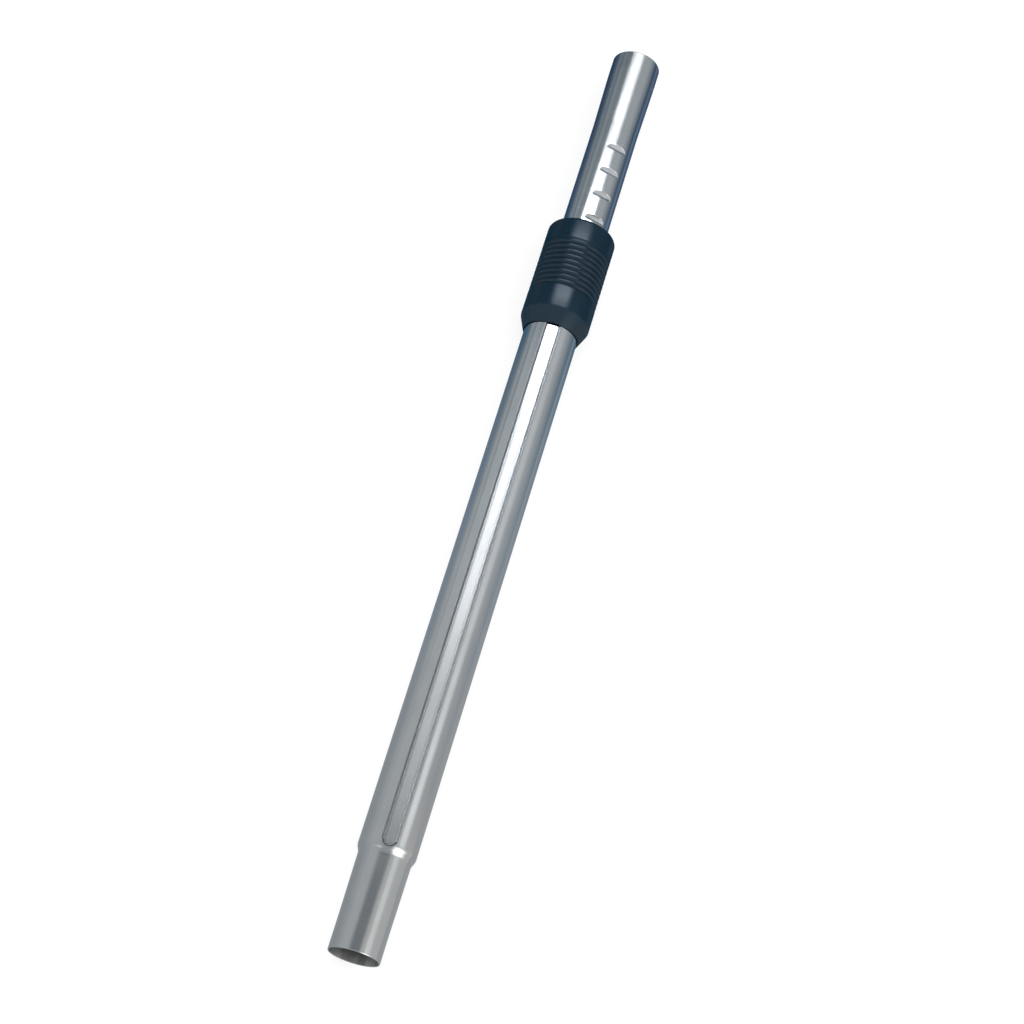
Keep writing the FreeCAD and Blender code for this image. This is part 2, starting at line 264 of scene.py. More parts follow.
class Finish:
    """A material that is built node by node."""

    def __init__(self, name, kind="materials"):
        self.made = getattr(bpy.data, kind).new(name)
        self.made.use_nodes = True
        self.made.node_tree.nodes.clear()

    def node(self, kind, settings=None, inputs=None, output=0):
        """One node of that kind: its settings first, then the values or links of its sockets."""
        node = self.made.node_tree.nodes.new(kind)
        for name, value in (settings or {}).items():
            if name == "stops":
                self.set_stops(node.color_ramp.elements, value)
            else:
                setattr(node, name, value)
        for name, value in (inputs or {}).items():
            if isinstance(value, Value):
                self.made.node_tree.links.new(value.socket, node.inputs[name])
            else:
                node.inputs[name].default_value = value
        return Value(self, node.outputs[output]) if node.outputs else None

    def set_stops(self, elements, stops):
        """Shades from the ramp's start to its end, as (place, colour) stops."""
        elements[0].color = stops[0][1]
        elements[1].color = stops[-1][1]
        for place, shade in stops[1:-1]:
            elements.new(place).color = shade

    def place(self):
        """Object coordinates."""
        return self.node("ShaderNodeTexCoord", output="Object")

    def along(self, direction):
        """Distance along a direction through the wand's frame, in metres."""
        inputs = {0: self.place(), 1: direction}
        return self.node("ShaderNodeVectorMath", {"operation": "DOT_PRODUCT"}, inputs, "Value")

    def grain(self, stretch, detail):
        """Noise from 0 to 1, with so many grains per metre along X, Y and Z."""
        inputs = {0: self.place(), 1: stretch}
        stretched = self.node("ShaderNodeVectorMath", {"operation": "MULTIPLY"}, inputs)
        inputs = {"Vector": stretched, "Scale": 1.0, "Detail": detail}
        return self.node("ShaderNodeTexNoise", {}, inputs, "Fac")

    def mix(self, factor, low, high):
        """The low colour where the factor is 0, and the high one where it is 1."""
        inputs = {MIX_FACTOR: factor, MIX_LOW: low, MIX_HIGH: high}
        return self.node("ShaderNodeMix", {"data_type": "RGBA"}, inputs, MIX_RESULT)

    def ramp(self, factor, stops):
        return self.node("ShaderNodeValToRGB", {"stops": stops}, {"Fac": factor}, "Color")

    def bump(self, height, distance, strength):
        return self.node("ShaderNodeBump", {}, {"Height": height, "Distance": distance, "Strength": strength})

    def principled(self, **inputs):
        """Ends the material in one such shader, with spaces for the underscores, and gives the material."""
        named = {name.replace("_", " "): value for name, value in inputs.items()}
        shader = self.node("ShaderNodeBsdfPrincipled", {}, named, "BSDF")
        return self.shown(shader)

    def glowing(self, shade):
        """Ends the material in a glow that isn't used as a lamp, and gives the material."""
        self.made.cycles.emission_sampling = "NONE"
        return self.shown(self.node("ShaderNodeEmission", {}, {"Color": shade, "Strength": 1.0}))

    def shown(self, shader, output="ShaderNodeOutputMaterial"):
        """Ends the material in this shader and gives the material."""
        self.node(output, {}, {"Surface": shader})
        return self.made

    def plain_sight(self):
        """1 for the camera and for what it sees in gloss or through glass, 0 for light on matt surfaces."""
        seen = self.node("ShaderNodeLightPath", output="Is Camera Ray")
        mirrored = self.node("ShaderNodeLightPath", output="Is Glossy Ray")
        through = self.node("ShaderNodeLightPath", output="Is Transmission Ray")
        return seen + mirrored + through


def opaque(rgb):
    """The colour with a full alpha."""
    return (*rgb, 1.0)


def scaled(rgb, by):
    """The colour made darker, or lighter above 1."""
    return opaque([by * value for value in rgb])


def groove_painted_shade_and_dullness(finish, sizes):
    """Painted shade on the groove's walls, darkest away from the notches and round the groove's end, and how
    dull the plating is there.
    """
    near_dark, away_dark, end_dark = 0.35, 0.82, 0.88
    turn = sizes.groove_angle
    outward = finish.along((0, math.sin(turn), math.cos(turn))).rise(0, MM)
    across = finish.along((0, math.cos(turn), -math.sin(turn)))
    beyond = (sizes.groove_start - finish.along(AXIS)).at_least(0)
    reach = (across.squared() + beyond.squared()).root()
    half = sizes.groove_half
    rim = half + sizes.groove_flank
    inside = outward * (1 - reach.rise(rim - 0.2 * MM, rim + 0.4 * MM))
    side_dark = near_dark + (away_dark - near_dark) * across.rise(-3 * MM, 3 * MM)
    sides = side_dark * reach.rise(rim - 3.6 * MM, rim - 0.4 * MM)
    end = end_dark * reach.rise(half - 0.5 * MM, half + 0.1 * MM) * beyond.rise(0, 1.5 * MM)
    return inside * sides.at_least(end), inside * reach.rise(half - 0.5 * MM, half + 0.5 * MM)


def notch_painted_shade_and_dullness(finish, sizes):
    """Painted shade on the notches' walls, darkest on the walls nearer to the floor end, and how dull the
    plating is in the notches.
    """
    near_dark, far_dark = 0.78, 0.25
    reach = (finish.along((0, 1, 0)).squared() + finish.along((0, 0, 1)).squared()).root()
    inside = 1 - reach.rise(sizes.inner_radius - 0.4 * MM, sizes.inner_radius - 0.05 * MM)
    step = (finish.along(AXIS) - LOCK_X).wrapped(sizes.notch_pitch)
    dark = near_dark - (near_dark - far_dark) * step.rise(-0.8 * MM, 0.8 * MM)
    return inside * dark, inside


def plated_steel(name, finishes, pressed, sizes):
    """Chrome plate over drawn tube: fine lines along it, a haze of handling, and rougher walls where pressed,
    with painted shade on them.
    """
    finish = Finish(name)
    lines = finish.grain((9, 2600, 2600), 3.0)
    haze = finish.grain((38, 70, 70), 4.0)
    dark, dull = pressed(finish, sizes)
    tone = finish.mix(haze.rise(0.35, 0.75) * 0.5, opaque(finishes.steel), scaled(finishes.steel, 0.9))
    # Painted shade: the pressed walls are darkened in the base colour.
    tone = finish.mix(dark, tone, scaled(finishes.steel, 0.15))
    roughness = finishes.steel_roughness + 0.03 * (lines - 0.5) + 0.05 * haze.rise(0.5, 0.85) + 0.4 * dull
    relief = finish.bump(lines, 0.004 * MM, 0.25)
    return finish.principled(Base_Color=tone, Metallic=1.0, Roughness=roughness, Normal=relief)


def bare_steel(name, rgb, low, high):
    """Inside of a tube: mill finish with a film of oil and dust, and painted shade that deepens away from the
    open ends.
    """
    finish = Finish(name)
    film = finish.grain((60, 160, 160), 4.0)
    along = finish.along(AXIS)
    depth = (along - low).at_most(high - along)
    tone = finish.mix(film.rise(0.35, 0.65), scaled(rgb, 0.6), opaque(rgb))
    # Painted shade, darker away from the open ends of the tube.
    tone = finish.mix(depth.rise(0, 14 * MM), tone, scaled(rgb, 0.2))
    relief = finish.bump(film, 0.01 * MM, 0.3)
    return finish.principled(Base_Color=tone, Metallic=0.5, Roughness=0.4 + 0.15 * film, Normal=relief)


def ribbed_zone(grip):
    """Where the ribs begin and end along the wand."""
    end = SLEEVE_HIGH.x - grip.rib_margin
    return end - grip.rib_count * grip.rib_pitch, end


def paint_grip_light_and_shade(finish, tone, grip, finishes):
    """Paints light and shade into the grip's tone: the ribbed zone darker, as shade that stays in the ribs'
    grooves, and a paler sheen on the taper and on the floor-end side of each rib.
    """
    along = finish.along(AXIS)
    start, end = ribbed_zone(grip)
    taper_end = SLEEVE_LOW.x + grip.taper
    ribbed = along.between(start, end, 0.2 * MM)
    away = (along - (start + 0.65 * grip.rib_pitch)).wrapped(grip.rib_pitch).size()
    side = ribbed * (1 - away.rise(0.05 * grip.rib_pitch, 0.35 * grip.rib_pitch))
    taper = 1 - along.rise(taper_end - MM, taper_end + MM)
    # Painted shade over the ribbed zone.
    tone = finish.mix(ribbed, tone, scaled(finishes.grip, 0.7))
    # Painted sheen on the taper and on the side of each rib that faces the floor end.
    return finish.mix(side + taper, tone, opaque(finishes.painted_sheen))


def moulded(name, rgb, roughness, ior, painted_shading=None):
    """Spark-eroded plastic: a fine even grain and a little uneven gloss. A function given as the last
    argument paints light and shade into the tone.
    """
    finish = Finish(name)
    grain = finish.grain((2600, 2600, 2600), 1.0)
    haze = finish.grain((60, 60, 60), 3.0)
    tone = finish.mix(haze, scaled(rgb, 0.9), scaled(rgb, 1.12))
    if painted_shading:
        # Painted light and shade, where a function for it is given.
        tone = painted_shading(finish, tone)
    gloss = roughness + 0.12 * (haze - 0.5) + 0.06 * (grain - 0.5)
    relief = finish.bump(grain, 0.02 * MM, 0.4)
    return finish.principled(Base_Color=tone, Roughness=gloss, IOR=ior, Normal=relief)


def turned_steel(name, rgb):
    """Bright steel with the fine marks of turning or drawing."""
    finish = Finish(name)
    marks = finish.grain((3400, 300, 300), 2.0)
    tone = finish.mix(marks, scaled(rgb, 0.85), opaque(rgb))
    relief = finish.bump(marks, 0.006 * MM, 0.3)
    return finish.principled(Base_Color=tone, Metallic=1.0, Roughness=0.24 + 0.14 * marks, Normal=relief)


def seal_rubber(name, rgb):
    """Black rubber with a pale bloom."""
    finish = Finish(name)
    bloom = finish.grain((420, 420, 420), 3.0)
    tone = finish.mix(bloom.rise(0.4, 0.8), opaque(rgb), scaled(rgb, 1.7))
    relief = finish.bump(bloom, 0.02 * MM, 0.3)
    return finish.principled(Base_Color=tone, Roughness=0.55 + 0.2 * bloom, Normal=relief)


def pressed_felt(name, rgb):
    """Short matted fibres."""
    finish = Finish(name)
    fibres = finish.grain((5200, 1700, 5200), 4.0)
    tone = finish.mix(fibres.rise(0.3, 0.7), scaled(rgb, 0.6), opaque(rgb))
    return finish.principled(Base_Color=tone, Roughness=0.95, Normal=finish.bump(fibres, 0.15 * MM, 0.8))


def tube_finishes(name, finishes, pressed, sizes):
    """Finishes of a tube's outside and of its bore."""
    outside = plated_steel(f"plated_steel_{name}", finishes, pressed, sizes)
    low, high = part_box(f"{name}_tube")
    return [outside, bare_steel(f"bare_steel_{name}", finishes.inside, low.x, high.x)]


def turned_to(angle_from_notches):
    """Turn about the wand's axis, from the row of notches towards +Y."""
    return Matrix.Rotation(-angle_from_notches, 4, "X")


def outline(points, closed=False):
    """A chain of edges through (x, radius) points, above the axis."""
    shape = bmesh.new()
    chain = [shape.verts.new((x, 0, r)) for x, r in points]
    for start, end in zip(chain, chain[1:]):
        shape.edges.new((start, end))
    if closed:
        shape.edges.new((chain[-1], chain[0]))
    return shape


def swage(x0, r0, x1, r1):
    """Points of an S-shaped change of radius, level at both ends."""
    steps = 14
    points = []
    for i in range(1, steps):
        t = i / steps
        level = t * t * (3 - 2 * t)
        along = 1.5 * t * (1 - t) + t**3
        points.append((x0 + (x1 - x0) * along, r0 + (r1 - r0) * level))
    return points


def cut_across(shape, places):
    """Adds a point to the outline at each of these places along the wand."""
    for x in places:
        everything = shape.verts[:] + shape.edges[:]
        bmesh.ops.bisect_plane(shape, geom=everything, dist=1e-7, plane_co=(x, 0, 0), plane_no=AXIS)


def support_bends(shape, bends):
    """Adds a point close to both sides of each bend, so that the shading stays even up to it."""
    cut_across(shape, [x + side * BEND_SUPPORT for x in bends for side in (-1, 1)])


def spun(shape, steps):
    """Spins the outline round the wand's axis, evenly."""
    everything = shape.verts[:] + shape.edges[:]
    bmesh.ops.spin(
        shape, geom=everything, axis=AXIS, cent=(0, 0, 0), angle=math.tau, steps=steps, use_merge=True
    )
    bmesh.ops.recalc_face_normals(shape, faces=shape.faces)


def spun_finer(shape, middle, half, fine, coarse):
    """Spins the outline round the axis, with finer steps up to half an angle on both sides of the middle."""
    bmesh.ops.transform(shape, matrix=turned_to(middle + half), verts=shape.verts)
    pattern = shape.verts[:] + shape.edges[:]
    first = bmesh.ops.spin(shape, geom=pattern, axis=AXIS, cent=(0, 0, 0), angle=2 * half, steps=fine)
    rest = math.tau - 2 * half
    bmesh.ops.spin(shape, geom=first["geom_last"], axis=AXIS, cent=(0, 0, 0), angle=rest, steps=coarse)
    bmesh.ops.remove_doubles(shape, verts=shape.verts, dist=1e-6)
    bmesh.ops.recalc_face_normals(shape, faces=shape.faces)


def soft_excess(value, softness):
    """value where it is well above 0, and nearly 0 below, with a rounded knee."""
    return (value + math.hypot(value, softness)) / 2


def round_edges(shape, edges, size, segments):
    """Rounds these edges of the shape."""
    bmesh.ops.bevel(
        shape,
        geom=edges,
        offset=size,
        offset_type="OFFSET",
        segments=segments,
        profile=0.5,
        affect="EDGES",
        material=-1,
    )


def give_wall(shape, thickness, rim):
    """Gives the tube's skin a wall on its inside and rounds the cut ends."""
    bmesh.ops.solidify(shape, geom=shape.faces[:], thickness=thickness)
    low = min(v.co.x for v in shape.verts)
    high = max(v.co.x for v in shape.verts)
    ends = [e for e in shape.edges if all(min(v.co.x - low, high - v.co.x) < 1e-6 for v in e.verts)]
    around = [e for e in ends if abs(e.verts[0].co.yz.length - e.verts[1].co.yz.length) < thickness / 2]
    round_edges(shape, around, rim, segments=2)
    # Faces that look towards the axis take the second material, the bore's.
    for face in shape.faces:
        middle = face.calc_center_median()
        face.material_index = int(face.normal.yz.dot(middle.yz) < -0.5 * middle.yz.length)


def round_rings(shape, places, size, segments=3):
    """Rounds the sharp rings of a turned shape that lie at (x, radius) places."""
    rings = []
    for edge in shape.edges:
        a, b = (v.co for v in edge.verts)
        for x, r in places:
            if all(abs(p.x - x) < 2e-6 and abs(p.yz.length - r) < 2e-6 for p in (a, b)):
                rings.append(edge)
    round_edges(shape, rings, size, segments)


def linked(shape, name, materials):
    """Turns the shape into a smooth shaded object of the scene."""
    mesh = bpy.data.meshes.new(name)
    for face in shape.faces:
        face.smooth = True
    shape.to_mesh(mesh)
    shape.free()
    for material in materials:
        mesh.materials.append(material)
    made = bpy.data.objects.new(name, mesh)
    bpy.context.scene.collection.objects.link(made)
    return made


def piece(shape, name, body, node, materials):
    """Turns the shape into a named piece that rides on a body and stands for a CAD node."""
    made = linked(shape, name, materials)
    made.data.set_sharp_from_angle(angle=SHARP_TURN)
    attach(made, body)
    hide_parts(node)
    return made


def press_groove(shape, sizes):
    """Presses the long groove, with its round end, into the outer tube's skin."""
    to_groove = turned_to(sizes.groove_angle).inverted()
    radius = OUTER_HIGH.y
    for vert in shape.verts:
        place = to_groove @ vert.co
        if place.z < radius / 2 or place.x < sizes.groove_start - radius / 2:
            continue
        across = radius * math.atan2(place.y, place.z)
        beyond = max(sizes.groove_start - place.x, 0)
        climb = max(math.hypot(across, beyond) - sizes.groove_half, 0) / sizes.groove_flank
        tool = radius - sizes.groove_depth * (1 - climb * climb)
        reach = place.yz.length
        vert.co.yz *= (reach - soft_excess(reach - tool, softness=0.01 * MM)) / reach


def press_notches(shape, sizes, centres):
    """Presses the row of lens-shaped notches into the inner tube's skin."""
    centre_height = sizes.notch_floor + sizes.notch_radius
    for vert in shape.verts:
        if vert.co.z < sizes.inner_radius / 2:
            continue
        away = min(abs(vert.co.x - x) for x in centres)
        if away > 2 * sizes.notch_radius:
            continue
        if away < sizes.notch_radius:
            floor = centre_height - math.sqrt(sizes.notch_radius**2 - away**2)
        else:
            floor = centre_height + 2 * (away - sizes.notch_radius)
        vert.co.z -= soft_excess(vert.co.z - floor, softness=0.07 * MM)


class WAND_OT_outer_tube(bpy.types.Operator):
    """Builds the outer tube with its reduced end and its pressed groove"""

    bl_idname = "wand.outer_tube"
    bl_label = "Outer Tube"

    def execute(self, context):
        sizes = context.scene.wand_tubes
        radius = OUTER_HIGH.y
        skin = outline([
            (0, sizes.mouth_radius),
            (sizes.mouth_land, sizes.mouth_radius),
            (sizes.neck_end, sizes.neck_radius),
            *swage(sizes.neck_end, sizes.neck_radius, sizes.shoulder_end, radius),
            (sizes.shoulder_end, radius),
            (OUTER_HIGH.x, radius),
        ])
        support_bends(skin, (0, sizes.mouth_land, sizes.neck_end, sizes.shoulder_end, OUTER_HIGH.x))
        self.cut_for_groove(skin, sizes)
        spun_finer(skin, middle=sizes.groove_angle, half=math.radians(20), fine=160, coarse=80)
        press_groove(skin, sizes)
        give_wall(skin, sizes.wall, sizes.rim_round)
        steel = tube_finishes("outer", context.scene.wand_finishes, groove_painted_shade_and_dullness, sizes)
        piece(skin, "outer_tube_skin", "outer", "outer_tube", steel)
        return {"FINISHED"}

    def cut_for_groove(self, skin, sizes):
        """Fine steps for the groove's round end and long ones beside its straight walls."""
        fine, fine_steps = 0.3 * MM, 22
        long, long_steps = 43 * MM, 10
        low = sizes.groove_start - sizes.groove_half - sizes.groove_flank - 0.4 * MM
        cut_across(skin, [low + fine * i for i in range(fine_steps)])
        cut_across(skin, [sizes.groove_start + long * (i + 1) for i in range(long_steps)])


class WAND_OT_inner_tube(bpy.types.Operator):
    """Builds the inner tube with its row of notches and its widened handle end"""

    bl_idname = "wand.inner_tube"
    bl_label = "Inner Tube"

    def execute(self, context):
        sizes = context.scene.wand_tubes
        radius = sizes.inner_radius
        socket_start = INNER_HIGH.x - sizes.socket_length
        flare_start = socket_start - sizes.flare_length
        skin = outline([
            (INNER_LOW.x, radius),
            (flare_start, radius),
            (socket_start, INNER_HIGH.y),
            (INNER_HIGH.x, INNER_HIGH.y),
        ])
        support_bends(skin, (INNER_LOW.x, flare_start, socket_start, INNER_HIGH.x))
        steps = range(-sizes.notches_below, sizes.notches_above + 1)
        centres = [LOCK_X + step * sizes.notch_pitch for step in steps]
        # Cuts across a notch, as parts of its radius, closest together at its rims.
        parts = (0.2, 0.42, 0.6, 0.74, 0.84, 0.92, 0.99, 1.08, 1.25)
        offsets = [side * part * sizes.notch_radius for part in parts for side in (-1, 1)]
        for x in centres:
            cut_across(skin, [x] + [x + offset for offset in offsets])
        spun_finer(skin, middle=0, half=math.radians(33), fine=70, coarse=44)
        press_notches(skin, sizes, centres)
        give_wall(skin, sizes.wall, sizes.rim_round)
        steel = tube_finishes("inner", context.scene.wand_finishes, notch_painted_shade_and_dullness, sizes)
        piece(skin, "inner_tube_skin", "inner", "inner_tube", steel)
        return {"FINISHED"}


class WAND_OT_grip_sleeve(bpy.types.Operator):
    """Builds the ribbed grip with its tapered lower end"""

    bl_idname = "wand.grip_sleeve"
    bl_label = "Grip Sleeve"

    def execute(self, context):
        sizes = context.scene.wand_grip
        radius = SLEEVE_HIGH.y
        start, end = SLEEVE_LOW.x, SLEEVE_HIGH.x
        bore = radius - sizes.wall
        lip_low = (start, sizes.bore)
        lip_high = (start, sizes.bore + sizes.lip)
        taper_end = (start + sizes.taper, radius)
        rib_start, rib_end = ribbed_zone(sizes)
        shell = outline([
            lip_low,
            lip_high,
            taper_end,
            (rib_start, radius),
            *self.hollows(sizes, rib_start, radius),
            (rib_end, radius),
            (end, radius - sizes.seam),
            (end, bore),
            (start + sizes.taper, bore),
            (start + sizes.wall, sizes.bore),
        ], closed=True)
        spun(shell, GRIP_STEPS)
        round_rings(shell, [lip_low, lip_high], 0.25 * MM)
        round_rings(shell, [taper_end], 0.8 * MM)
        finishes = context.scene.wand_finishes

        # Painted shade in the ribbed zone and a painted sheen on the taper and the ribs' sides.
        def painted_shading(finish, tone):
            return paint_grip_light_and_shade(finish, tone, sizes, finishes)

        black = moulded("grip_plastic_sleeve", finishes.grip, finishes.grip_roughness, GRIP_IOR, painted_shading)
        piece(shell, "grip_sleeve_shell", "sleeve", "grip_sleeve", [black])
        return {"FINISHED"}

    def hollows(self, sizes, rib_start, radius):
        """Points of the hollow curves between the ribs, which leave rounded crests."""
        steps, roundness = 10, 0.7
        points = []
        for i in range(1, sizes.rib_count * steps):
            crest = abs(math.cos(math.pi * i / steps)) ** roundness
            points.append((rib_start + sizes.rib_pitch * i / steps, radius - sizes.rib_depth * (1 - crest)))
        return points


class WAND_OT_sleeve_cap(bpy.types.Operator):
    """Builds the plain band at the top of the grip"""

    bl_idname = "wand.sleeve_cap"
    bl_label = "Sleeve Cap"

    def execute(self, context):
        sizes = context.scene.wand_grip
        radius = CAP_HIGH.y
        seam = SLEEVE_HIGH.x
        end = CAP_HIGH.x
        clearance = 0.05 * MM
        spigot = radius - sizes.wall - clearance
        spigot_bore = spigot - sizes.spigot_wall
        spigot_end = seam + 3 * MM
        face_back = end - sizes.cap_face
        shell = outline([
            (CAP_LOW.x, spigot_bore),
            (CAP_LOW.x, spigot),
            (seam, spigot),
            (seam, radius - sizes.seam),
            (seam + sizes.seam, radius),
            (end, radius),
            (end, sizes.cap_opening),
            (face_back, sizes.cap_opening),
            (face_back, radius - sizes.wall),
            (spigot_end, radius - sizes.wall),
            (spigot_end, spigot_bore),
        ], closed=True)
        spun(shell, GRIP_STEPS)
        round_rings(shell, [(end, radius)], sizes.cap_shoulder, segments=8)
        round_rings(shell, [(end, sizes.cap_opening)], 0.4 * MM)
        finishes = context.scene.wand_finishes
        black = moulded("grip_plastic_cap", finishes.grip, finishes.grip_roughness, GRIP_IOR)
        piece(shell, "sleeve_cap_shell", "sleeve", "sleeve_cap", [black])
        return {"FINISHED"}


class WAND_OT_return_spring(bpy.types.Operator):
    """Winds the spring that pushes the grip back up, between its washer and the cam slide"""

    bl_idname = "wand.return_spring"
    bl_label = "Return Spring"

    def execute(self, context):
        sizes = context.scene.wand_grip
        low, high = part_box("return_spring")
        wire = sizes.spring_wire / 2
        coil = bmesh.new()
        section = Matrix.Translation((low.x + wire, 0, high.z - wire)) @ Matrix.Rotation(math.pi / 2, 4, "X")
        bmesh.ops.create_circle(coil, segments=16, radius=wire, matrix=section)
        steps_per_turn = 40
        steps = steps_per_turn * sizes.spring_turns
        rise = AXIS * (high.x - low.x - 2 * wire) / steps
        turn = math.tau * sizes.spring_turns
        start = coil.verts[:] + coil.edges[:]
        bmesh.ops.spin(coil, geom=start, axis=AXIS, cent=(0, 0, 0), dvec=rise, angle=turn, steps=steps)
        bmesh.ops.holes_fill(coil, edges=[e for e in coil.edges if e.is_boundary])
        bmesh.ops.recalc_face_normals(coil, faces=coil.faces)
        steel = turned_steel("spring_steel", context.scene.wand_finishes.wire)
        spring = piece(coil, "return_spring_coil", "outer", "return_spring", [steel])
        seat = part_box("spring_washer")[1].x
        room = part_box("cam_slide")[0].x - seat
        travel = next(joint["range_m"][1] for joint in frame["joints"] if joint["name"] == "sleeve_slide")
        (room - travel) / room
        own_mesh(spring)
        return {"FINISHED"}


class WAND_OT_inner_pieces(bpy.types.Operator):
    """Gives the lock, the guides, the washer and the seals their finishes"""

    bl_idname = "wand.inner_pieces"
    bl_label = "Inner Pieces"

    def execute(self, context):
        finishes = context.scene.wand_finishes
        guide = moulded("guide_plastic", finishes.guide, roughness=0.42, ior=PLASTIC_IOR)
        steel = turned_steel("lock_steel", finishes.wire)
        rubber = seal_rubber("seal_rubber", finishes.rubber)
        felt = pressed_felt("pressed_felt", finishes.felt)
        dressed = {
            "lock_carrier": guide,
            "nose_ring": guide,
            "guide_bush": guide,
            "cam_slide": guide,
            "lock_roller": steel,
            "spring_washer": steel,
            "tube_seal": rubber,
            "felt_wiper": felt,
            "bush_felt": felt,
        }
        for name, material in dressed.items():
            mesh = frame["nodes"][name].data
            mesh.materials.clear()
            mesh.materials.append(material)
        return {"FINISHED"}


def staged(shape, name, material):
    """Turns the shape into a piece of the studio."""
    made = linked(shape, name, [material])
    return made


def studio_floor(studio):
    """Pale floor that is white to the camera and still takes the wand's shadow."""
    finish = Finish("studio_floor")
    matt = finish.node("ShaderNodeBsdfDiffuse", {}, {"Color": opaque(studio.floor)})
    glow = finish.node("ShaderNodeEmission", {}, {"Color": WHITE, "Strength": 1.0})
    glowing = finish.plain_sight() * studio.glow
    return finish.shown(finish.node("ShaderNodeMixShader", {}, {0: glowing, 1: matt, 2: glow}))


def studio_air(studio):
    """Soft light from all round, white where it is seen."""
    air = Finish("studio_air", "worlds")
    strength = studio.air + (1 - studio.air) * air.plain_sight()
    light = air.node("ShaderNodeBackground", {}, {"Color": WHITE, "Strength": strength})
    return air.shown(light, "ShaderNodeOutputWorld")


def studio_tent(studio):
    """Light tent that only gloss sees: a long strip overhead, a narrow one beside it and greyer sides."""
    finish = Finish("studio_tent")
    across = Vector((0, -math.cos(studio.roll), math.sin(studio.roll)))
    above = Vector((0, math.sin(studio.roll), math.cos(studio.roll)))
    turn = finish.along(across).turn_from(finish.along(above))
    far = finish.along(AXIS)
    left = far.shades([
        (-1.9, 1.5, 1.6, 1.7), (-0.95, 1.1, 1.2, 1.3), (-0.7, 0.42, 0.44, 0.45), (0.2, 0.42, 0.44, 0.45),
        (0.54, 0.43, 0.45, 0.46), (0.96, 0.44, 0.48, 0.5), (1.2, 0.41, 0.45, 0.47), (1.28, 0.38, 0.42, 0.44),
        (1.31, 0.22, 0.29, 0.36), (1.43, 0.22, 0.29, 0.36), (1.47, 0.31, 0.35, 0.37),
        (1.52, 0.29, 0.33, 0.35), (1.64, 0.26, 0.3, 0.33), (1.8, 0.19, 0.225, 0.25),
    ])
    right = far.shades([
        (-1.9, 1.5, 1.6, 1.7), (-0.95, 1.1, 1.2, 1.3), (-0.7, 0.52, 0.52, 0.51), (0.2, 0.52, 0.52, 0.51),
        (0.47, 0.5, 0.5, 0.49), (0.54, 0.42, 0.43, 0.44), (0.96, 0.42, 0.45, 0.47), (1.52, 0.38, 0.41, 0.42),
        (1.8, 0.36, 0.4, 0.42),
    ])
    right_low = far.shades([
        (0.2, 0.5, 0.5, 0.5), (0.45, 0.48, 0.48, 0.48), (0.54, 0.37, 0.38, 0.39), (0.96, 0.27, 0.32, 0.36),
        (1.2, 0.15, 0.21, 0.26), (1.52, 0.07, 0.11, 0.17), (1.8, 0.04, 0.075, 0.13),
    ])
    strip_colour = far.shades([
        (-0.6, 0.34, 0.36, 0.37), (0.1, 0.32, 0.34, 0.35), (0.31, 0.18, 0.2, 0.21), (0.43, 0.2, 0.22, 0.23),
        (0.49, 0.4, 0.41, 0.42), (0.54, 0.53, 0.54, 0.55), (0.72, 0.66, 0.69, 0.71), (0.81, 1.05, 1.08, 1.1),
        (0.95, 1.34, 1.38, 1.42), (1.1, 1.32, 1.36, 1.4), (1.225, 1.1, 1.14, 1.18), (1.27, 15, 16.9, 19),
        (1.42, 15, 16.9, 19), (1.465, 0.95, 0.99, 1.03), (1.56, 1.1, 1.14, 1.18), (1.68, 1.32, 1.36, 1.4),
        (2.3, 1.34, 1.38, 1.42), (2.6, 0.3, 0.3, 0.3),
    ])
    side_colour = far.shades([
        (-1.3, 0.7, 0.7, 0.7), (-0.7, 2.3, 2.3, 2.25), (-0.3, 2.3, 2.3, 2.25), (0.15, 0.66, 0.67, 0.67),
        (0.3, 0.78, 0.8, 0.78), (0.4, 0.64, 0.68, 0.68), (0.46, 0.64, 0.68, 0.68), (0.485, 0.95, 0.97, 0.96),
        (0.54, 0.88, 0.9, 0.9), (0.72, 0.75, 0.77, 0.78), (0.96, 0.63, 0.65, 0.66), (1.2, 0.55, 0.57, 0.59),
        (1.52, 0.42, 0.45, 0.47), (1.8, 0.38, 0.42, 0.44),
    ])
    walls = finish.mix(turn.rise(0, 30), left, finish.mix(turn.rise(58, 112), right, right_low))
    # The strip's frame, a little darker than the wall left of it.
    frame_edge = turn.between(-56, -36, 5) * far.rise(1.1, 1.4) * 0.3
    walls = finish.mix(frame_edge, walls, (0.1, 0.11, 0.12, 1))
    # The strip's edges, in degrees from above. The left one lies further out at both ends of the wand,
    # and both close in a little on the way to the handle end.
    soft = 1 - far.rise(0.4, 0.56)
    end = far.rise(1.58, 1.66)
    upper = far.rise(0.9, 1.6)
    narrow = 4 * far.between(1.45, 1.64, 0.04)
    left_low = -34 - 8 * soft - 8 * upper + narrow
    left_high = -14 - 4 * soft - 10 * upper + 16 * end + narrow
    right_edge = turn.rise(11 - 5 * soft - narrow, 28 + 4 * upper - narrow)
    strip = turn.rise(left_low, left_high) * (1 - right_edge)
    walls = finish.mix(strip, walls, strip_colour)
    # The narrow strip on the right, which is wider and lies further up near the camera's end.
    near = 1 - far.rise(0, 0.25)
    side = turn.rise(32 - 18 * near, 42 - 2 * near) * (1 - turn.rise(50 - 4 * near, 70 + 14 * near))
    return finish.glowing(finish.mix(side, walls, side_colour))


